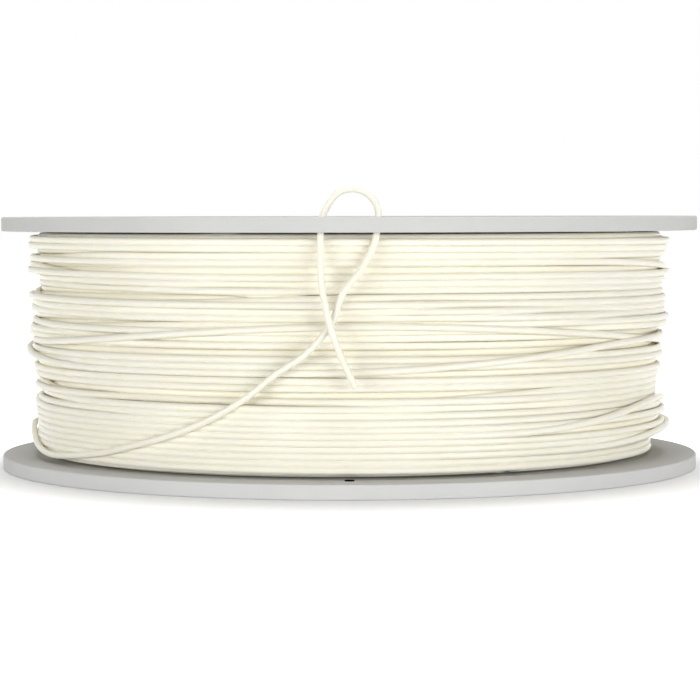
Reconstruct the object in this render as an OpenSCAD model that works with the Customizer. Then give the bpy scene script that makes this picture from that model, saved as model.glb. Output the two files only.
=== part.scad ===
// Filament spool lying on one flange, full of 1.75 mm filament.
// Two identical snap-on flanges, a hub drum between them, and one long strand wound on the drum.
// The strand's free end is threaded up and down through two holes in the upper flange.
// Origin: centre of the lower flange's outer face. +Z runs along the spool's axis. Millimetres.

/* [Flanges] */
// Outer diameter of both flanges
flange_d = 200; // [190:1:240]
// Thickness of a flange at its rim and at its hub
rim_t = 4; // [3.6:0.1:6]
// Radial width of the thick band along the rim
rim_band_w = 5.6; // [3:0.1:7]
// Radius that rounds both edges of the rim
rim_round = 0.5; // [0.3:0.1:1.4]
// Thickness of the thinner web between rim and hub
web_t = 2.6; // [1.6:0.1:3]
// Width of a sight slot in the web
slot_w = 7; // [3:0.5:12]
// Number of sight slots in each flange
slot_count = 3; // [2:1:8]
// Distance from the drum's surface to the inner end of a sight slot
slot_hub_gap = 9; // [6:0.5:14]
// Distance from the outer end of a sight slot to the winding's surface
slot_edge_gap = 7; // [3:0.5:12]
// Diameter of the small holes that take a strand's end
tie_hole_d = 2.6; // [2.2:0.1:3.4]
// Distance between the two tie holes of a pair
tie_spacing = 14.2; // [8:0.2:24]
// Distance from the rim's outer edge to the pair of tie holes
tie_inset = 7.2; // [7:0.1:9.5]
// Distance from the rim's outer edge to the middle of the tie slot opposite the pair
tie_slot_inset = 11; // [9:0.1:12]
// Length of the tie slot, which points at the axis and is as wide as a tie hole
tie_slot_l = 5.4; // [4:0.1:6]

/* [Hub] */
// Outer diameter of the drum
drum_d = 104; // [94:1:120]
// Wall of the drum
drum_wall = 2.5; // [2:0.1:4]
// Diameter of the bore that a holder's shaft goes through
bore_d = 53; // [30:0.5:60]
// Wall of the collar round the bore
collar_wall = 3; // [2:0.1:4]
// Height of the collar above a flange's inner face
collar_h = 14; // [6:0.5:24]
// Chamfer at both mouths of the bore
bore_chamfer = 0.6; // [0.2:0.1:1]
// Wall of the spigot that centres the drum
spigot_wall = 2.4; // [1.6:0.1:3]
// Height of the spigot above a flange's inner face
spigot_h = 6; // [4:0.5:10]
// Thickness of the hub's ribs
rib_t = 2; // [1.2:0.1:3]
// Number of ribs on the hub's outer face
rib_count = 12; // [4:1:18]
// How far the outer ribs stay below the hub's face
rib_drop = 0.4; // [0.2:0.1:0.8]
// Radial clearance between spigot and drum
fit_gap = 0.1; // [0.05:0.05:0.3]
// Diameter of the hole in the drum that held the strand's first end
anchor_hole_d = 2.6; // [2.2:0.1:4]
// Height of that hole above the lower flange
anchor_hole_h = 3; // [2.5:0.1:5]

/* [Snap hooks] */
// Number of hooks on each flange
hook_count = 4; // [2:2:6]
// Width of a hook
hook_w = 9; // [6:0.5:12]
// Thickness of a hook's arm
hook_t = 2; // [1.4:0.1:2.2]
// Height of a hook above a flange's inner face
hook_h = 14; // [13:0.5:20]
// Height of the tooth at the hook's end
tooth_h = 3.6; // [2.4:0.1:5]
// How far the tooth stands into the drum's window
tooth_reach = 1.7; // [1:0.1:2]
// How far a hook's arm stays inside the spigot's outer surface
arm_play = 0.2; // [0.1:0.05:0.4]
// Clearance round a tooth in its window
tooth_gap = 0.3; // [0.1:0.05:0.5]
// Width of the slots that free a hook from the spigot
hook_slot_w = 1.2; // [0.8:0.1:2]

/* [Filament] */
// Diameter of the filament
filament_d = 1.75; // [1.5:0.05:2]
// Diameter of the wound filament, halfway up
winding_d = 181; // [150:1:182]
// How much further out the winding stands at the top than at the bottom
winding_lean = 1.5; // [0:0.1:2]
// Length of the drum that the filament fills
winding_w = 63.8; // [58:0.2:80]
// Turns in the outer layer
outer_turns = 24; // [8:1:24]
// How far a turn strays sideways from its helix
wander = 0.15; // [0:0.05:0.2]
// Gap between the winding and a flange
side_gap = 0.4; // [0.3:0.05:0.8]
// Gap between the outer layer and the layers under it
layer_gap = 0.1; // [0.05:0.05:0.3]

/* [Hidden] */

$fn = 96;
ROUND_STEPS = 4;
CUT = 1;

// Spool
overall_w = winding_w + 2 * rim_t;
flange_r = flange_d / 2;
drum_r = drum_d / 2;
drum_in_r = drum_r - drum_wall;
bore_r = bore_d / 2;
collar_r = bore_r + collar_wall;
spigot_r = drum_in_r - fit_gap;
spigot_in_r = spigot_r - spigot_wall;
tie_r = flange_r - tie_inset;
tie_slot_r = flange_r - tie_slot_inset;
tie_angle = asin(tie_spacing / 2 / tie_r);
recess = rim_t - web_t;

// Hooks and their windows in the drum
hook_out_r = spigot_r - arm_play;
hook_in_r = hook_out_r - hook_t;
tooth_z = hook_h - tooth_h;
tooth_r = spigot_r + tooth_reach;
tooth_lead = tooth_reach + arm_play;

// Winding
filament_r = filament_d / 2;
LAYER_STEPS = 24;
LAYER_SIDES = 6;
STEP_ANGLE = 360 / LAYER_STEPS;
CHORD = cos(STEP_ANGLE / 2);
layer_bottom = rim_t + side_gap + filament_r;
layer_top = rim_t + winding_w - side_gap - filament_r;
layer_pitch = (layer_top - layer_bottom) / outer_turns;
// The outer layer starts and ends at this angle, and rises out of the winding over DIVE_ANGLE
END_ANGLE = 135;
DIVE_ANGLE = 45;
WANDER_WAVES = 1.5;
groove_r = core_r(layer_top) - filament_d * CHORD;
groove_back = atan((filament_d + layer_gap) / (layer_r(layer_top) - filament_d));

// Free end of the strand: points as [angle, radius, height] round the spool's axis
TAIL_SIDES = 8;
RING_STEP = 5;
TAIL_ROUTE = [
    [143, 89.7, 5.4], [151, 90.6, 6], [159, 91, 7.8], [167, 91, 10.2], [175, 91.1, 12.2],
    [182, 91.1, 12.6], [188, 91.1, 10.8], [194, 91, 8.2], [201, 91, 6.6], [208, 91, 6.4],
    [216, 91, 7.4], [224, 91, 9], [232, 91.1, 11.8], [240, 91.2, 15.3], [247, 91.3, 19.7],
    [253, 91.4, 25.2], [258, 91.5, 31.4], [263, 91.7, 36.8], [267, 91.8, 44.2], [269, 92, 52.2],
    [272, 92.2, 58.6], [274, 92.6, 65], [274.5, 92.8, 70], [274.5, 92.8, 74], [273.2, 92.8, 77.3],
    [270.8, 92.8, 78.9], [268.2, 92.8, 77.8], [266.4, 92.8, 74], [265.6, 92.8, 70],
    [265.5, 93, 64], [265.6, 93.4, 56], [266.3, 93.8, 49], [267.4, 93.9, 42], [269, 93.5, 35],
    [271, 93.2, 28]
];

// Radius of the outer layer's centre line at a height
function layer_r(height) =
    winding_d / 2 - filament_r + winding_lean * (height - overall_w / 2) / winding_w;

// Radius of the layers under it at a height
function core_r(height) = layer_r(height) * CHORD - filament_r - layer_gap;

// Point at an angle, a radius and a height round the spool's axis
function place(angle, radius, height) = [radius * cos(angle), radius * sin(angle), height];

function unit(v) = v / norm(v);

// 0 below 0, 1 above 1, and a smooth rise between them
function ease(x) = x <= 0 ? 0 : x >= 1 ? 1 : x * x * (3 - 2 * x);

// Direction of a path at one of its points
function heading(path, i) =
    let (last = len(path) - 1)
    unit(path[min(i + 1, last)] - path[max(i - 1, 0)]);

// Sideways direction at one of its points: away from the spool's axis, square to the path
function outward(path, i) =
    let (t = heading(path, i), away = [path[i].x, path[i].y, 0])
    unit(away - (away * t) * t);

// The path with one more point at each end, a filament diameter further along the given headings
function with_straight_ends(path, first, last) = concat(
    [path[0] - filament_d * first],
    path,
    [path[len(path) - 1] + filament_d * last]
);

// One turn after another of the outer layer, from the upper flange down
function layer_point(step) =
    let (
        turned = step * STEP_ANGLE,
        height = layer_top - layer_pitch * turned / 360 + wander * sin(WANDER_WAVES * turned)
    )
    place(
        END_ANGLE + turned,
        layer_r(height) - filament_d * (1 - ease(turned / DIVE_ANGLE)),
        height
    );

layer_steps = outer_turns * LAYER_STEPS;
end_heading = [-sin(END_ANGLE), cos(END_ANGLE), 0];
layer_turns = [for (step = [0 : layer_steps]) layer_point(step)];
layer_path = with_straight_ends(layer_turns, end_heading, end_heading);
layer_end = layer_path[len(layer_path) - 1];

// Least gap from one turn of the outer layer to the next
turn_gap = min([
    for (step = [0 : layer_steps - LAYER_STEPS])
        norm(layer_turns[step + LAYER_STEPS] - layer_turns[step]) - filament_d
]);
echo(least_gap_between_turns = turn_gap);

// Smooth curve from p1 to p2, with p0 before it and p3 after it
function curve(p0, p1, p2, p3, t) =
    0.5 * (2 * p1 + (p2 - p0) * t + (2 * p0 - 5 * p1 + 4 * p2 - p3) * t * t
        + (3 * p1 - p0 - 3 * p2 + p3) * t * t * t);

function as_place(p) = place(p[0], p[1], p[2]);

// The tail starts at the outer layer's end and goes straight on for one diameter
tail_start = [
    atan2(layer_end.y, layer_end.x),
    norm([layer_end.x, layer_end.y]),
    layer_end.z
];
tail_lead = let (p = layer_end + filament_d * end_heading) [atan2(p.y, p.x), norm([p.x, p.y]), p.z];
tail_points = concat([tail_start, tail_lead], TAIL_ROUTE);
tail_last = len(tail_points) - 1;
tail_path = concat(
    [layer_end],
    [
        for (i = [1 : tail_last - 1])
            let (
                p1 = tail_points[i],
                p2 = tail_points[i + 1],
                rings = ceil(norm(as_place(p2) - as_place(p1)) / RING_STEP)
            )
            for (k = [0 : rings - 1])
                as_place(curve(
                    tail_points[i - 1], p1, p2, tail_points[min(i + 2, tail_last)], k / rings
                ))
    ],
    [as_place(tail_points[tail_last])]
);
echo(tail_rings = len(tail_path));

// Closed tube along a path
module strand(path, sides) {
    rings = len(path);
    points = [
        for (i = [0 : rings - 1])
            let (n = outward(path, i), b = cross(heading(path, i), n))
            for (k = [0 : sides - 1])
                path[i] + filament_r * (cos(360 * k / sides) * n + sin(360 * k / sides) * b)
    ];
    walls = [
        for (i = [0 : rings - 2])
            for (k = [0 : sides - 1])
                let (next = (k + 1) % sides, a = i * sides, b = a + sides)
                each [[a + k, b + k, b + next], [a + k, b + next, a + next]]
    ];
    caps = [
        for (k = [1 : sides - 2])
            let (end = (rings - 1) * sides)
            each [[0, k, k + 1], [end, end + k + 1, end + k]]
    ];
    polyhedron(points, concat(walls, caps));
}

// Quarter circle from one angle to the next one, as points of a section
function quarter(x, y, from_angle) = [
    for (k = [0 : ROUND_STEPS])
        let (angle = from_angle + 90 * k / ROUND_STEPS)
        [x + rim_round * cos(angle), y + rim_round * sin(angle)]
];

// Half of a flange's section, outer face down; it turns about the Z axis
module flange_section() {
    round_x = flange_r - rim_round;
    polygon(concat(
        [
            [bore_r + bore_chamfer, 0],
            [collar_r, 0],
            [collar_r, recess],
            [spigot_in_r, recess],
            [spigot_in_r, 0],
            [spigot_r, 0],
            [spigot_r, recess],
            [flange_r - rim_band_w, recess],
            [flange_r - rim_band_w, 0]
        ],
        quarter(round_x, rim_round, -90),
        quarter(round_x, rim_t - rim_round, 0),
        [
            [spigot_r, rim_t],
            [spigot_r, rim_t + spigot_h],
            [spigot_in_r, rim_t + spigot_h],
            [spigot_in_r, rim_t],
            [collar_r, rim_t],
            [collar_r, rim_t + collar_h],
            [bore_r, rim_t + collar_h],
            [bore_r, bore_chamfer]
        ]
    ));
}

// A slot with round ends through a flange, lengthways along +X
module slot(middle_r, length, width) {
    straight = length - width;
    translate([middle_r - straight / 2, -width / 2, -CUT]) cube([straight, width, rim_t + 2 * CUT]);
    for (side = [-1, 1])
        translate([middle_r + side * straight / 2, 0, -CUT])
            cylinder(d = width, h = rim_t + 2 * CUT);
}

// A box on +X as wide as given, from one radius to another
module hook_box(width, from_r, to_r, from_z, to_z) {
    translate([from_r, -width / 2, from_z]) cube([to_r - from_r, width, to_z - from_z]);
}

// Snap hook on +X: an arm with a tooth that points outwards
module hook() {
    intersection() {
        rotate(180) rotate_extrude() polygon([
            [hook_in_r, rim_t - web_t / 2],
            [hook_out_r, rim_t - web_t / 2],
            [hook_out_r, rim_t + tooth_z],
            [tooth_r, rim_t + tooth_z],
            [tooth_r, rim_t + hook_h - tooth_lead],
            [hook_out_r, rim_t + hook_h],
            [hook_in_r, rim_t + hook_h]
        ]);
        hook_box(hook_w, hook_in_r - CUT, tooth_r + CUT, 0, rim_t + hook_h + CUT);
    }
}

// Turns its children to each hook's angle, halfway between the inner ribs
module at_hooks() {
    for (i = [0 : hook_count - 1]) rotate(360 * (i + 0.5) / hook_count) children();
}

// Turns its children to each inner rib's angle
module at_inner_ribs() {
    for (i = [0 : hook_count - 1]) rotate(360 * i / hook_count) children();
}

// A rib on +X from the middle of the collar's wall to the middle of the spigot's wall
module rib(from_z, to_z) {
    from_r = collar_r - collar_wall / 2;
    to_r = spigot_in_r + spigot_wall / 2;
    translate([from_r, -rib_t / 2, from_z]) cube([to_r - from_r, rib_t, to_z - from_z]);
}

// One flange with its outer face down. Its pair of tie holes is on +Y and its tie slot on -Y.
module flange() {
    sight_from_r = drum_r + slot_hub_gap;
    sight_to_r = winding_d / 2 - slot_edge_gap;
    difference() {
        union() {
            rotate_extrude() flange_section();
            at_inner_ribs() rib(recess, rim_t + spigot_h);
            for (i = [0 : rib_count - 1])
                rotate(360 * (i + 0.5) / rib_count) rib(rib_drop, recess + web_t / 2);
        }
        for (i = [0 : slot_count - 1])
            rotate(360 * i / slot_count)
                slot((sight_from_r + sight_to_r) / 2, sight_to_r - sight_from_r, slot_w);
        for (side = [-1, 1])
            rotate(90 + side * tie_angle) translate([tie_r, 0, -CUT])
                cylinder(d = tie_hole_d, h = rim_t + 2 * CUT);
        rotate(-90) slot(tie_slot_r, tie_slot_l, tie_hole_d);
        at_hooks()
            hook_box(
                hook_w + 2 * hook_slot_w, spigot_in_r - CUT, spigot_r + CUT,
                rim_t, rim_t + spigot_h + CUT
            );
    }
    at_hooks() hook();
}

module lower_flange() {
    color("gainsboro") flange();
}

module upper_flange() {
    color("gainsboro") translate([0, 0, overall_w]) rotate([180, 0, 0]) flange();
}

module hub_drum() {
    tooth_low = tooth_z - tooth_gap;
    tooth_high = hook_h + tooth_gap;
    color("silver") difference() {
        translate([0, 0, rim_t]) cylinder(h = winding_w, r = drum_r);
        translate([0, 0, rim_t - CUT]) cylinder(h = winding_w + 2 * CUT, r = drum_in_r);
        at_hooks()
            for (z = [rim_t + tooth_low, overall_w - rim_t - tooth_high])
                hook_box(
                    hook_w + 2 * tooth_gap, drum_in_r - CUT, drum_r + CUT,
                    z, z + tooth_high - tooth_low
                );
        translate([0, 0, rim_t + anchor_hole_h])
            rotate([0, 90, 0]) cylinder(d = anchor_hole_d, h = drum_r + CUT);
    }
}

module filament_inner_layers() {
    core_w = winding_w - 2 * layer_gap;
    core_bottom = rim_t + layer_gap;
    color("ivory") difference() {
        translate([0, 0, core_bottom])
            cylinder(h = core_w, r1 = core_r(core_bottom), r2 = core_r(core_bottom + core_w));
        translate([0, 0, rim_t]) cylinder(h = winding_w, r = drum_r + layer_gap);
        // Groove that the outer layer rises out of
        rotate(END_ANGLE - groove_back) rotate_extrude(angle = groove_back + DIVE_ANGLE)
            translate([groove_r, layer_top - filament_r - layer_gap - wander])
                square([winding_d, filament_d + side_gap + 2 * layer_gap + wander]);
    }
}

module filament_outer_layer() {
    color("ivory") strand(layer_path, LAYER_SIDES);
}

module filament_tail() {
    color("white") strand(tail_path, TAIL_SIDES);
}

lower_flange();
upper_flange();
hub_drum();
filament_inner_layers();
filament_outer_layer();
filament_tail();
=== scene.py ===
"""Looks of a filament spool that lies on one flange, full of ivory filament.

The spool's own lengths are in millimetres until a mesh is made. The free end's route, the lamps
and the materials are in metres. The spool's axis is the frame's Z axis, and -Y is the front.
"""
import math

import bpy
import numpy as np
from mathutils import Euler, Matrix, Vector


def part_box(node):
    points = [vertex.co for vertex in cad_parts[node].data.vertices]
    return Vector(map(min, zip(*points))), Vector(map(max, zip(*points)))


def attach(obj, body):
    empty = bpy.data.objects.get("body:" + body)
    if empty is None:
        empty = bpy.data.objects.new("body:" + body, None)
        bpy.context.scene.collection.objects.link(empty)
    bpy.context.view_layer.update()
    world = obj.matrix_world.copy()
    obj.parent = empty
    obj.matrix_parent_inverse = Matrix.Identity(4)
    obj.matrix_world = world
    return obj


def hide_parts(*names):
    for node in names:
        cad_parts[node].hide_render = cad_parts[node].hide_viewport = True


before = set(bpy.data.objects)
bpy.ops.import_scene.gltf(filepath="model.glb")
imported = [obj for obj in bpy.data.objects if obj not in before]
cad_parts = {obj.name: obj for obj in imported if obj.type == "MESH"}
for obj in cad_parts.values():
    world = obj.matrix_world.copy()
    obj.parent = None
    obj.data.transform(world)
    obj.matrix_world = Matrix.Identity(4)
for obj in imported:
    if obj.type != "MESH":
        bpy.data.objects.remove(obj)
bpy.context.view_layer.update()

MM = 0.001
FULL_TURN = 360


# ---------------------------------------------------------------- camera
CAMERA_DISTANCE = 763  # from the spool's axis
CAMERA_HEIGHT = 72.8  # above the floor
CAMERA_PITCH = 2.985  # degrees downwards
CAMERA_ROLL = -0.117  # degrees
FOCAL_LENGTH_PX = 2629
IMAGE_PX = 700
CENTRE_X_PX = 349.35  # where the optical axis meets the image
SENSOR_W = 36


def make_camera():
    data = bpy.data.cameras.new("camera")
    data.sensor_width = SENSOR_W
    data.lens = FOCAL_LENGTH_PX / IMAGE_PX * SENSOR_W
    data.shift_x = (IMAGE_PX / 2 - CENTRE_X_PX) / IMAGE_PX
    camera = bpy.data.objects.new("camera", data)
    camera.location = Vector((0, -CAMERA_DISTANCE, CAMERA_HEIGHT)) * MM
    camera.rotation_euler = Euler((math.radians(90 - CAMERA_PITCH), 0, 0))
    camera.rotation_euler.rotate_axis("Z", math.radians(CAMERA_ROLL))
    bpy.context.scene.collection.objects.link(camera)
    bpy.context.scene.camera = camera


make_camera()


# ---------------------------------------------------------------- sizes
FILAMENT_D = 1.75
FILAMENT_R = FILAMENT_D / 2
WINDING_D = 181  # halfway up
WINDING_LEAN = 1.5  # how much further out the winding stands at the top than at the bottom
SIDE_GAP = 0.4  # between the winding and each flange
END_ANGLE = 135  # where the winding ends and the free end begins


def drum_sizes():
    """The drum's radius, and the heights of its two ends, where the flanges' inner faces are."""
    low, high = (np.round(np.array(corner) / MM, 2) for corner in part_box("hub_drum"))
    return high[0], low[2], high[2]


drum_r, rim_t, drum_top = drum_sizes()
winding_w = drum_top - rim_t
winding_bottom = rim_t + SIDE_GAP + FILAMENT_R
winding_top = rim_t + winding_w - SIDE_GAP - FILAMENT_R
winding_middle = rim_t + winding_w / 2


def mean_radius(height):
    """Radius of the outer layer's centre line at a height."""
    return WINDING_D / 2 - FILAMENT_R + WINDING_LEAN * (height - winding_middle) / winding_w


def place(angle, radius, height):
    """Points at angles in degrees, radii and heights round the spool's axis."""
    turned = np.radians(angle)
    return np.stack([radius * np.cos(turned), radius * np.sin(turned), height + 0 * turned], -1)


def turned_from(angle, middle):
    """How far angles are turned from a middle one, from -180 to 180 degrees."""
    return (angle - middle + 180) % FULL_TURN - 180


# ---------------------------------------------------------------- meshes
def unit(vectors):
    return vectors / np.linalg.norm(vectors, axis=-1, keepdims=True)


def new_object(name, points, faces):
    """A smooth mesh object from points in millimetres."""
    mesh = bpy.data.meshes.new(name)
    mesh.from_pydata((np.asarray(points) * MM).tolist(), [], faces)
    mesh.shade_smooth()
    piece = bpy.data.objects.new(name, mesh)
    bpy.context.scene.collection.objects.link(piece)
    return piece


def grid_faces(rows, columns, closed_rows=False):
    """Quads between rows of points. Each row is a closed ring of points."""
    row = np.arange(rows if closed_rows else rows - 1)[:, None] * columns
    following = (row + columns) % (rows * columns)
    column = np.arange(columns)[None, :]
    beside = (column + 1) % columns
    quads = np.stack([row + column, following + column, following + beside, row + beside], -1)
    return quads.reshape(-1, 4).tolist()


def strand(name, path, sides, strand_r=FILAMENT_R):
    """A closed tube along a path round the spool's axis."""
    heading = unit(np.gradient(path, axis=0))
    away = path * (1, 1, 0)
    away = unit(away - (away * heading).sum(-1, keepdims=True) * heading)
    across = np.cross(heading, away)
    turned = np.arange(sides) * 2 * math.pi / sides
    ring = (
        np.cos(turned)[None, :, None] * away[:, None]
        + np.sin(turned)[None, :, None] * across[:, None]
    )
    points = (path[:, None] + strand_r * ring).reshape(-1, 3)
    last = (len(path) - 1) * sides
    caps = [list(range(sides)), [last + k for k in reversed(range(sides))]]
    return new_object(name, points, grid_faces(len(path), sides) + caps)


# ---------------------------------------------------------------- free end of the strand
# Angle, radius and height of the points that the free end goes through, in metres
TAIL_ROUTE = [
    (143, 0.0897, 0.0054), (151, 0.0906, 0.006), (159, 0.091, 0.0078), (167, 0.091, 0.0102),
    (175, 0.0911, 0.0122), (182, 0.0911, 0.0126), (188, 0.0911, 0.0108), (194, 0.091, 0.0082),
    (201, 0.091, 0.0066), (208, 0.091, 0.0064), (216, 0.091, 0.0074), (224, 0.091, 0.009),
    (232, 0.0911, 0.0118), (240, 0.0912, 0.0153), (247, 0.0913, 0.0197), (253, 0.0914, 0.0252),
    (258, 0.0915, 0.0314), (263, 0.0917, 0.0368), (267, 0.0918, 0.0442), (269, 0.092, 0.0522),
    (272, 0.0922, 0.0586), (274, 0.0926, 0.065), (274.5, 0.0928, 0.07), (274.5, 0.0928, 0.074),
    (273.2, 0.0928, 0.0773), (270.8, 0.0928, 0.0789), (268.2, 0.0928, 0.0778),
    (266.4, 0.0928, 0.074), (265.6, 0.0928, 0.07), (265.5, 0.093, 0.064), (265.6, 0.0934, 0.056),
    (266.3, 0.0938, 0.049), (267.4, 0.0939, 0.042), (269, 0.0935, 0.035), (271, 0.0932, 0.028),
]
TAIL_SIDES = 16
TAIL_STEP = 1  # at most, between rings


def winding_end():
    """Where the winding ends, and its heading there."""
    turned = math.radians(END_ANGLE)
    heading = np.array([-math.sin(turned), math.cos(turned), 0])
    end = place(END_ANGLE, mean_radius(winding_bottom), winding_bottom)
    return end + FILAMENT_D * heading, heading


def through(points, step):
    """A smooth curve through points given as angle, radius and height (Catmull-Rom)."""
    padded = np.vstack([points[:1], points, points[-1:]])
    curve = []
    for p0, p1, p2, p3 in zip(padded, padded[1:], padded[2:], padded[3:]):
        rings = math.ceil(np.linalg.norm(place(*p2) - place(*p1)) / step)
        t = (np.arange(rings) / rings)[:, None]
        curve.append(0.5 * (
            2 * p1 + (p2 - p0) * t + (2 * p0 - 5 * p1 + 4 * p2 - p3) * t ** 2
            + (3 * p1 - p0 - 3 * p2 + p3) * t ** 3
        ))
    return np.vstack([*curve, points[-1:]])


def as_angle_radius_height(point):
    return [math.degrees(math.atan2(point[1], point[0])), math.hypot(point[0], point[1]), point[2]]


def tail_places():
    """The free end's centre line as angles, radii and heights."""
    end, heading = winding_end()
    route = np.array(TAIL_ROUTE) * (1, 1 / MM, 1 / MM)
    ahead = as_angle_radius_height(end + FILAMENT_D * heading)
    return through(np.vstack([as_angle_radius_height(end), ahead, route]), TAIL_STEP)


def make_tail(places):
    path = place(*places.T)
    tail = strand("filament_free_end", path, TAIL_SIDES)
    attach(tail, "root")
    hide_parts("filament_tail")
    return tail


tail_line = tail_places()
tail_piece = make_tail(tail_line)


# ---------------------------------------------------------------- course of the winding
SEED = 7
STEPS = 180  # points in a turn
STEP = FULL_TURN / STEPS
LAYER_TURNS = (34, 34)  # turns in the layer below and in the outer layer
TOP_GAP = 0.6  # that the turns leave under the upper flange, on top of the side gap
layers_top = winding_top - TOP_GAP

# The gaps between turns follow a noise of up to GAP_WAVES waves round a turn, which changes by up
# to GAP_DRIFT cycles from the first turn to the last. Where it is above GAP_LEVEL, a gap opens.
GAP_WAVES = 3
GAP_DRIFT = 10
GAP_LEVEL = 0.6
GAP_POWER = 1.5
LEAST_GAP = 0.02

# Turns of the outer layer that stray across their neighbours:
# height of the turn, angle and half width of the bulge in its course, and how far it strays
STRAYS = [
    (58, 350, 175, -15), (36.5, 275, 90, 7), (31.5, 350, 95, 7.5), (26, 245, 70, -4.5),
    (16, 345, 50, 5.5), (10, 0, 50, 3.5), (31, 165, 60, 4), (62, 180, 50, -3),
    (44, 130, 120, -8), (60, 60, 110, -6), (20, 110, 90, 6), (35, 60, 70, -4), (52, 215, 60, -2.5),
]
STRAY_MARGIN = 0.05  # that a stray keeps from the layer's two ends

# Wider gaps between turns of the outer layer: height, angle, half width and share of the room
GAPS = [
    (52, 300, 40, 1.5), (38.6, 290, 25, 2), (8.5, 310, 50, 1.5), (62, 225, 50, 1), (49, 215, 40, 1),
    (30, 210, 50, 1), (22, 300, 40, 1), (57, 290, 60, 0.7), (45, 60, 80, 1), (25, 130, 70, 1),
]


def strand_angles(count):
    """Angles of the winding's first points, which go on past a full turn."""
    return END_ANGLE + np.arange(count) * STEP


def bulge(offset, half_width):
    """1 at offset 0, falling smoothly to 0 at the half width."""
    return np.cos(np.clip(offset / half_width, -1, 1) * math.pi / 2) ** 2


def wobble(noise, turns):
    """Smooth noise along a layer's strand that repeats after its last turn."""
    turn = np.arange(turns * STEPS) / STEPS
    value = np.zeros_like(turn)
    for waves in range(GAP_WAVES + 1):
        for drift in range(-GAP_DRIFT, GAP_DRIFT + 1):
            frequency = waves + drift / turns
            phase = noise.uniform(0, 2 * math.pi)
            value += noise.normal() * np.cos(2 * math.pi * frequency * turn + phase)
    return value / math.sqrt((GAP_WAVES + 1) * (2 * GAP_DRIFT + 1) / 2)


def layer_heights(noise, turns, width, gaps=()):
    """Heights of a layer's turns above its first one, as an array of turns by steps."""
    gap = np.maximum(wobble(noise, turns) - GAP_LEVEL, 0) ** GAP_POWER + LEAST_GAP
    gap = gap.reshape(turns, STEPS)
    for height, middle, half_width, share in gaps:
        turn = round((layers_top - height) / width * turns)
        gap[turn] += share * bulge(turned_from(strand_angles(STEPS), middle), half_width)
    gap *= (width - turns * FILAMENT_D) / gap.sum(0)
    spacing = FILAMENT_D + gap
    below = np.vstack([np.zeros((1, STEPS)), np.cumsum(spacing[1:], 0)])
    helix = np.arange(STEPS) / STEPS * spacing[1, 0]
    return below + helix


def stray_heights(heights):
    """The outer layer's heights with its strays, as one row of points."""
    course = heights.reshape(-1).copy()
    turned = strand_angles(len(course))
    for height, angle, half_width, reach in STRAYS:
        column = round((angle - END_ANGLE) / STEP) % STEPS
        turn = np.abs(heights[:, column] - height).argmin()
        course += reach * bulge(turned - turned[turn * STEPS + column], half_width)
    return np.clip(course, winding_bottom + STRAY_MARGIN, layers_top - STRAY_MARGIN)


# ---------------------------------------------------------------- surface under the two layers
CORE_TURNS = 35  # turns in the layer that the two modelled ones lie on
CORE_DEPTH = 4.5  # from that layer's centre line to the winding's mean surface
core_z = np.linspace(winding_bottom, winding_top, CORE_TURNS)

# Ridges and valleys of the winding: a height, and how much further out than the mean the
# strand lies there on the left and on the right
RIDGES = [
    (5, 1.2, -2), (8, 2.2, -3), (11, 2, -1.8), (13.5, 1.4, 0.8), (16, 1.6, 1.3), (18.5, 1.8, -0.4),
    (21, -0.1, -1.7), (24, -2.8, -0.2), (27, 0, -0.6), (30, 0.8, 0.8), (33, 0.7, 0.3),
    (37, 1.2, -2), (40, -0.4, -2.2), (42, 0.4, -0.6), (45, 1.4, 0.8), (48.7, 0.6, 1.1),
    (51.5, 0, -0.4), (54, -2, 0.5), (58, 0.4, 1.2), (61.5, -0.2, 0.6), (64, 1.2, 1.2),
    (67, 1.4, 2.2),
]
# Hollows in it: angle, height, half width in degrees, half height and depth
HOLLOWS = [(200, 7, 14, 2.5, 2), (268, 47, 80, 30, 3)]
# Slow swells of it: how far out, waves round the spool, rise in a radian, and phase
SWELLS = [(0.35, 2, 5, 0), (0.25, 3, -3.1, 1)]
DENT_REACH = 6  # how far from the free end, up and down, the dent under it reaches


def core_radius(angle, height, dent):
    """Centre-line radius of the core's turns, where dent is the depth under the free end."""
    ridge_z, left_out, right_out = np.array(RIDGES).T
    right = (1 + np.cos(np.radians(angle))) / 2
    out = right * np.interp(height, ridge_z, right_out)
    out = out + (1 - right) * np.interp(height, ridge_z, left_out)
    for middle, middle_z, half_width, half_height, depth in HOLLOWS:
        aside = bulge(turned_from(angle, middle), half_width)
        out = out - depth * aside * bulge(height - middle_z, half_height)
    for swell, waves, rise, phase in SWELLS:
        out = out + swell * np.sin(waves * np.radians(angle) + height / rise + phase)
    tail_z = np.interp(angle % FULL_TURN, tail_line[:, 0], tail_line[:, 2])
    dent_here = np.interp(angle % FULL_TURN, np.arange(STEPS) * STEP, dent)
    out = out - dent_here * np.exp(-((height - tail_z) / DENT_REACH) ** 2)
    return mean_radius(height) + FILAMENT_R - CORE_DEPTH + out


# ---------------------------------------------------------------- laying the strand down
PRESSED_R = 0.96  # over the strand's own radius, because tight turns press into each other
TAUT_REACH = (1, 2, 3, 4, 6, 8)  # in steps: how far a taut strand bridges a dip
CHUNK = 30  # steps that are laid down at once
LOOK = 10  # steps on both sides of them that their course takes into account
COURSE_SMOOTHING = 2  # in steps, as the two below
RADIUS_SMOOTHING = 1.5
ROOM_SMOOTHING = 1

TAIL_GAP = 0.02  # between the free end and the turns under it
TAIL_CLEAR = FILAMENT_R + PRESSED_R + TAIL_GAP  # between their centre lines
NO_LIMIT = 1000  # a radius far outside the spool
DENT_PASSES = 4  # times that the winding is laid down, with a deeper dent each time
FIRST_DENT = 0.3
DENT_SHARE = 0.6  # share of what is still in the free end's way that deepens the dent
DENT_SPREAD = 3  # steps on both sides that the dent deepens with a point


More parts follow.
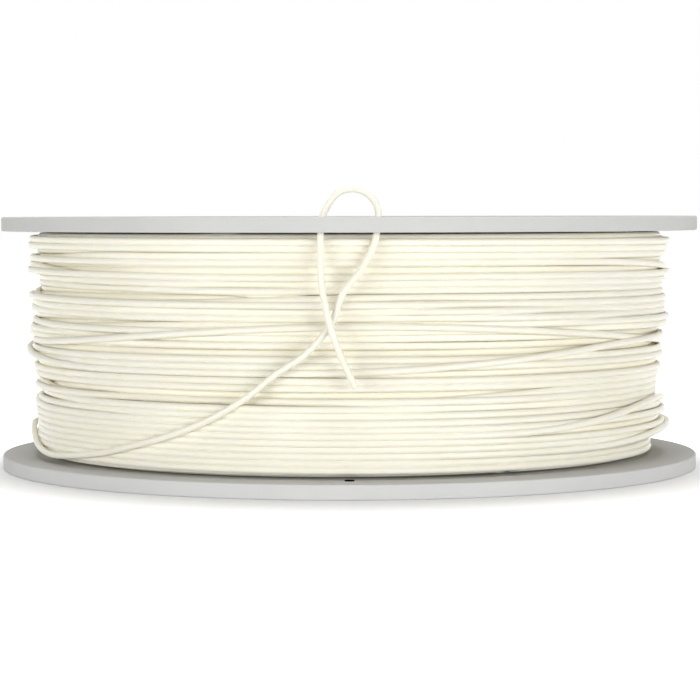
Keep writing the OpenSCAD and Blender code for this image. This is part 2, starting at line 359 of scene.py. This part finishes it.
def taut(need):
    """The course of a taut strand that nowhere lies deeper than need."""
    course = need.copy()
    flat = 1 / need
    for back in TAUT_REACH:
        for ahead in TAUT_REACH:
            a, b = math.radians(back * STEP), math.radians(ahead * STEP)
            middle = slice(back, len(need) - ahead)
            chord = math.sin(a + b) / (
                flat[:len(need) - ahead - back] * math.sin(b) + flat[back + ahead:] * math.sin(a)
            )
            course[middle] = np.maximum(course[middle], chord)
    return course


def lay_down(course_z, dent):
    """Radii of the strand's points, as each turn comes to rest on the turns under it."""
    core_r = core_radius(strand_angles(STEPS)[None, :], core_z[:, None], dent)
    turns = len(course_z) // STEPS
    rows_z = np.vstack([np.repeat(core_z[:, None], STEPS, 1), course_z.reshape(turns, STEPS)])
    rows_r = np.vstack([core_r, np.zeros((turns, STEPS))])
    radius = np.zeros(len(course_z))
    for start in range(0, len(course_z), CHUNK):
        first = max(start - LOOK, 0)
        here = np.arange(first, min(start + CHUNK + LOOK, len(course_z)))
        column = here % STEPS
        row = CORE_TURNS + here // STEPS
        apart = rows_z[:, column] - course_z[here]
        lift = np.sqrt(np.maximum(FILAMENT_D ** 2 - apart ** 2, 0))
        earlier = (np.arange(len(rows_z))[:, None] < row) & (np.abs(apart) < FILAMENT_D)
        need = np.where(earlier, rows_r[:, column] + lift, 0).max(0)
        floor = core_radius(END_ANGLE + column * STEP, course_z[here], dent)
        need = np.maximum(need, floor + FILAMENT_R)
        laid = here < start
        need[laid] = radius[here[laid]]
        chunk = np.arange(start, min(start + CHUNK, len(course_z)))
        radius[chunk] = taut(need)[chunk - first]
        rows_r[CORE_TURNS + chunk // STEPS, chunk % STEPS] = radius[chunk]
    return radius


def smooth(values, sigma):
    """Gaussian smoothing along the strand, sigma in steps."""
    reach = math.ceil(3 * sigma)
    weights = np.exp(-0.5 * (np.arange(-reach, reach + 1) / sigma) ** 2)
    return np.convolve(np.pad(values, reach, "edge"), weights / weights.sum(), "valid")


def room_under_tail(angle, height):
    """Largest centre-line radius that leaves the free end clear, at angles and heights."""
    beside_winding = tail_line[:, 2] < rim_t + winding_w
    first_stretch = tail_line[:np.argmin(beside_winding)]
    room = np.full(len(height), NO_LIMIT, float)
    for tail_angle, tail_r, tail_z in first_stretch[::2]:
        near = np.abs(turned_from(angle, tail_angle)) < STEP
        apart = np.abs(height - tail_z)
        close = near & (apart < TAIL_CLEAR)
        drop = np.sqrt(TAIL_CLEAR ** 2 - apart[close] ** 2)
        room[close] = np.minimum(room[close], tail_r - drop)
    return room


def winding_course():
    """Angles, radii and heights of the two outer layers' strand, and the core's dent."""
    noise = np.random.default_rng(SEED)
    width = layers_top - winding_bottom
    lower = winding_bottom + layer_heights(noise, LAYER_TURNS[0], width)
    outer = layers_top - layer_heights(noise, LAYER_TURNS[1], width, GAPS)
    height = smooth(np.concatenate([lower.reshape(-1), stray_heights(outer)]), COURSE_SMOOTHING)
    angle = strand_angles(len(height))
    column = np.round(angle / STEP).astype(int) % STEPS
    room = room_under_tail(angle, height)
    dent = np.full(STEPS, FIRST_DENT)
    for _ in range(DENT_PASSES):
        radius = smooth(lay_down(height, dent), RADIUS_SMOOTHING)
        worst = np.zeros(STEPS)
        np.maximum.at(worst, column, np.maximum(radius - room, 0))
        shifts = range(-DENT_SPREAD, DENT_SPREAD + 1)
        dent += DENT_SHARE * np.max([np.roll(worst, shift) for shift in shifts], 0)
    radius = np.minimum(radius, smooth(np.minimum(room, radius), ROOM_SMOOTHING))
    return angle, radius, height, dent


# ---------------------------------------------------------------- pieces of the winding
OUTER_SIDES = 12
LOWER_SIDES = 8
END_BLEND = 30  # degrees over which the last turn comes to the place where the free end begins

CORE_COLUMNS = 120  # points round the core
ARC_POINTS = 4  # points across the half of a turn that shows
END_TURNS = 21  # turns that show at both ends of the core, behind the sight slots
END_TURNS_R = 84  # radius of the outermost of them
END_SINK = 0.1  # how much deeper they lie than the layers' first and last turns
DRUM_GAP = 0.1  # between the core and the drum


def make_winding(angle, radius, height):
    """The two outer layers. The outer one ends where the free end begins."""
    blend = np.clip(1 - (angle[-1] + STEP - angle) / END_BLEND, 0, 1)
    blend = blend * blend * (3 - 2 * blend)
    radius = radius + (mean_radius(winding_bottom) - radius) * blend
    height = height + (winding_bottom - height) * blend
    end, heading = winding_end()
    path = np.vstack([place(angle, radius, height), end - FILAMENT_D * heading, end])
    split = LAYER_TURNS[0] * STEPS
    lower = strand("winding_lower_layer", path[:split + 1], LOWER_SIDES, PRESSED_R)
    outer = strand("winding_outer_layer", path[split:], OUTER_SIDES, PRESSED_R)
    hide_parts("filament_outer_layer")
    return lower, outer


def half_circle(first):
    """Points of the half circle that starts at an angle: how far out and up each one lies."""
    angles = [math.radians(first + 180 * (k + 0.5) / ARC_POINTS) for k in range(ARC_POINTS)]
    return [(FILAMENT_R * math.cos(a), FILAMENT_R * math.sin(a)) for a in angles]


def make_core(dent):
    """The layers under the modelled strand: a ring whose surface shows its turns."""
    angle = np.arange(CORE_COLUMNS) * FULL_TURN / CORE_COLUMNS
    inner_r = drum_r + DRUM_GAP
    end_r = np.linspace(inner_r + FILAMENT_R, END_TURNS_R, END_TURNS)
    rows = []
    for z in core_z:
        surface = core_radius(angle, z, dent)
        rows += [(surface + out, z + up) for out, up in half_circle(-90)]
    for r in reversed(end_r):
        rows += [(r + out, winding_top + up - END_SINK) for out, up in half_circle(0)]
    rows += [(inner_r, winding_top), (inner_r, winding_bottom)]
    for r in end_r:
        rows += [(r + out, winding_bottom + up + END_SINK) for out, up in half_circle(180)]
    points = np.array([place(angle, r, z) for r, z in rows]).reshape(-1, 3)
    faces = [face[::-1] for face in grid_faces(len(rows), CORE_COLUMNS, closed_rows=True)]
    core = new_object("winding_inner_layers", points, faces)
    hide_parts("filament_inner_layers")
    return core


turn_angle, turn_r, turn_z, core_dent = winding_course()
winding_pieces = make_winding(turn_angle, turn_r, turn_z)
core_piece = make_core(core_dent)
for piece in (*winding_pieces, core_piece):
    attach(piece, "root")


# ---------------------------------------------------------------- nodes of materials
def new_material(name):
    """A node material, its tree and its shader."""
    material = bpy.data.materials.new(name)
    material.use_nodes = True
    return material, material.node_tree, material.node_tree.nodes["Principled BSDF"]


def set_inputs(node, values):
    for name, value in values.items():
        node.inputs[name].default_value = value


def object_place(tree):
    return tree.nodes.new("ShaderNodeTexCoord").outputs["Object"]


def math_node(tree, operation, *operands):
    """Result of a math node whose operands are sockets or numbers."""
    node = tree.nodes.new("ShaderNodeMath")
    node.operation = operation
    for socket, operand in zip(node.inputs, operands):
        if isinstance(operand, bpy.types.NodeSocket):
            tree.links.new(operand, socket)
        else:
            socket.default_value = operand
    return node.outputs["Value"]


def vector_node(tree, operation, vector, other=(0, 0, 0)):
    """A vector math node on a socket and a fixed vector."""
    node = tree.nodes.new("ShaderNodeVectorMath")
    node.operation = operation
    tree.links.new(vector, node.inputs[0])
    node.inputs[1].default_value = other
    return node


def noise_value(tree, coordinates, scale, detail):
    node = tree.nodes.new("ShaderNodeTexNoise")
    set_inputs(node, {"Scale": scale, "Detail": detail})
    tree.links.new(coordinates, node.inputs["Vector"])
    return node.outputs["Fac"]


def colour_between(tree, factor, *stops):
    """A colour that goes from one stop to the other. A stop is a factor and its colour."""
    node = tree.nodes.new("ShaderNodeValToRGB")
    for element, (position, colour) in zip(node.color_ramp.elements, stops):
        element.position = position
        element.color = (*colour, 1)
    tree.links.new(factor, node.inputs["Fac"])
    return node.outputs["Color"]


def add_bump(tree, shader, height, distance):
    node = tree.nodes.new("ShaderNodeBump")
    node.inputs["Distance"].default_value = distance
    tree.links.new(height, node.inputs["Height"])
    tree.links.new(node.outputs["Normal"], shader.inputs["Normal"])


# ---------------------------------------------------------------- materials
FILAMENT_COLOURS = ((0.3, (0.875, 0.85, 0.735)), (0.7, (0.91, 0.885, 0.79)))
FILAMENT_FINISH = {
    "Roughness": 0.42,
    "IOR": 1.46,
    "Subsurface Weight": 0.3,
    "Subsurface Radius": (1, 0.85, 0.55),
    "Subsurface Scale": 0.0005,
}
SPOOL_COLOURS = ((0.3, (0.615, 0.615, 0.61)), (0.7, (0.645, 0.645, 0.635)))
SPOOL_FINISH = {"Roughness": 0.55, "IOR": 1.5, "Specular IOR Level": 0}

# The tie slot's walls get painted shade, a near black colour for the shade deep in the slot, inside
# the box below
TIE_SLOT_R = 89  # from the axis to the middle of the tie slot at the front of the lower flange
TIE_SLOT = (0, -TIE_SLOT_R, rim_t / 2)
TIE_SLOT_SIZE = (2.7, 5.5, rim_t - 0.04)  # just past its walls, and inside the flange's faces
# painted shade: the near black colour of the tie slot's walls
SLOT_WALL_PAINTED_SHADE = (0.01, 0.01, 0.01, 1)


def filament_material():
    """Ivory plastic that lets a little light in, faintly mottled, with a drawn surface."""
    material, tree, shader = new_material("ivory_filament")
    coordinates = object_place(tree)
    mottle = noise_value(tree, coordinates, scale=45, detail=3)
    tree.links.new(colour_between(tree, mottle, *FILAMENT_COLOURS), shader.inputs["Base Color"])
    set_inputs(shader, FILAMENT_FINISH)
    add_bump(tree, shader, noise_value(tree, coordinates, scale=900, detail=2), distance=0.00003)
    return material


def inside_box(tree, coordinates, middle, size):
    """1 inside a box given in millimetres, and 0 outside."""
    offset = vector_node(tree, "SUBTRACT", coordinates, Vector(middle) * MM).outputs["Vector"]
    share = vector_node(tree, "DIVIDE", offset, Vector(size) * MM / 2).outputs["Vector"]
    sides = tree.nodes.new("ShaderNodeSeparateXYZ")
    tree.links.new(vector_node(tree, "ABSOLUTE", share).outputs["Vector"], sides.inputs["Vector"])
    furthest = sides.outputs["X"]
    for side in ("Y", "Z"):
        furthest = math_node(tree, "MAXIMUM", furthest, sides.outputs[side])
    return math_node(tree, "LESS_THAN", furthest, 1)


def spool_material():
    """Light grey moulded plastic with a fine grain, and painted shade: the tie slot's walls are
    near black.
    """
    material, tree, shader = new_material("light_grey_moulded_plastic")
    coordinates = object_place(tree)
    mottle = noise_value(tree, coordinates, scale=30, detail=4)
    mix = tree.nodes.new("ShaderNodeMix")
    mix.data_type = "RGBA"
    # painted shade: inside the box round the tie slot, the grey gives way to near black
    slot_shade_mask = inside_box(tree, coordinates, TIE_SLOT, TIE_SLOT_SIZE)
    tree.links.new(slot_shade_mask, mix.inputs["Factor"])
    tree.links.new(colour_between(tree, mottle, *SPOOL_COLOURS), mix.inputs["A"])
    mix.inputs["B"].default_value = SLOT_WALL_PAINTED_SHADE
    tree.links.new(mix.outputs["Result"], shader.inputs["Base Color"])
    set_inputs(shader, SPOOL_FINISH)
    add_bump(tree, shader, noise_value(tree, coordinates, scale=2500, detail=3), distance=0.00002)
    return material


filament = filament_material()
spool = spool_material()
for piece in (tail_piece, *winding_pieces, core_piece):
    piece.data.materials.append(filament)
for node in ("lower_flange", "upper_flange", "hub_drum"):
    cad_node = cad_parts[node]
    cad_node.data.materials.clear()
    cad_node.data.materials.append(spool)


# ---------------------------------------------------------------- floor and light
WHITE = (1, 1, 1, 1)
FILL = 0.12  # strength of the even light from all sides

FLOOR_HALF = 6000  # half of the floor's side
FLOOR_FINISH = {
    "Base Color": (0.8, 0.8, 0.8, 1),
    "Roughness": 0.9,
    "Specular IOR Level": 0,
    "Emission Color": WHITE,
}
FLOOR_GLOW = 0.09  # what the floor near the spool shows the camera on top of the light on it
GLOW_CENTRE = (0, -0.02, 0)  # a little in front of the axis, because the shadow shows there
GLOW_START, GLOW_END = 0.08, 0.16  # distances from there between which it rises to white

LAMP_TARGET = (0, 0, 0.04)  # the middle of the spool, which every lamp faces
# Name, place, width and height, and watts
LAMPS = [
    ("left", (-1.75, -1.65, 0.22), (1.6, 0.45), 28),
    ("right", (1.6, -1.8, 0.22), (1.6, 0.45), 33),
    ("top", (0, 0.1, 1.6), (1.2, 1.2), 20),
    ("back", (0, 2.3, 0.2), (2.4, 0.4), 6),
]
DIFFUSE_BOUNCES = 12  # pale grooves pass light on many times


def seen_background(tree):
    """1 for rays that show the background: from the camera, in a gloss or through glass."""
    rays = tree.nodes.new("ShaderNodeLightPath").outputs
    seen = rays["Is Camera Ray"]
    for name in ("Is Glossy Ray", "Is Transmission Ray"):
        seen = math_node(tree, "MAXIMUM", seen, rays[name])
    return seen


def make_world():
    world = bpy.data.worlds.new("studio")
    world.use_nodes = True
    tree = world.node_tree
    fill = tree.nodes["Background"]
    set_inputs(fill, {"Color": WHITE, "Strength": FILL})
    white = tree.nodes.new("ShaderNodeBackground")
    set_inputs(white, {"Color": WHITE, "Strength": 1})
    mix = tree.nodes.new("ShaderNodeMixShader")
    tree.links.new(seen_background(tree), mix.inputs["Fac"])
    tree.links.new(fill.outputs[0], mix.inputs[1])
    tree.links.new(white.outputs[0], mix.inputs[2])
    tree.links.new(mix.outputs[0], tree.nodes["World Output"].inputs["Surface"])
    bpy.context.scene.world = world


def floor_material():
    """White that keeps the spool's shadow, and turns to the white background further out."""
    material, tree, shader = new_material("white_floor")
    set_inputs(shader, FLOOR_FINISH)
    glow = tree.nodes.new("ShaderNodeMapRange")
    glow.interpolation_type = "SMOOTHSTEP"
    set_inputs(glow, {"From Min": GLOW_START, "From Max": GLOW_END, "To Min": FLOOR_GLOW})
    away = vector_node(tree, "DISTANCE", object_place(tree), GLOW_CENTRE)
    tree.links.new(away.outputs["Value"], glow.inputs["Value"])
    lift = math_node(tree, "MULTIPLY", seen_background(tree), glow.outputs["Result"])
    tree.links.new(lift, shader.inputs["Emission Strength"])
    return material


def make_floor():
    corners = [(x * FLOOR_HALF, y * FLOOR_HALF, 0) for x, y in ((-1, -1), (1, -1), (1, 1), (-1, 1))]
    floor = new_object("floor", corners, [(0, 1, 2, 3)])
    floor.data.materials.append(floor_material())


def make_lamp(name, location, size, power):
    data = bpy.data.lights.new(name, "AREA")
    data.shape = "RECTANGLE"
    data.size, data.size_y = size
    data.energy = power
    lamp = bpy.data.objects.new(name, data)
    lamp.location = location
    towards = Vector(LAMP_TARGET) - Vector(location)
    lamp.rotation_euler = towards.to_track_quat("-Z", "Y").to_euler()
    bpy.context.scene.collection.objects.link(lamp)


make_world()
make_floor()
for lamp in LAMPS:
    make_lamp(*lamp)

bpy.context.scene.cycles.diffuse_bounces = DIFFUSE_BOUNCES
bpy.context.scene.view_settings.view_transform = "Standard"
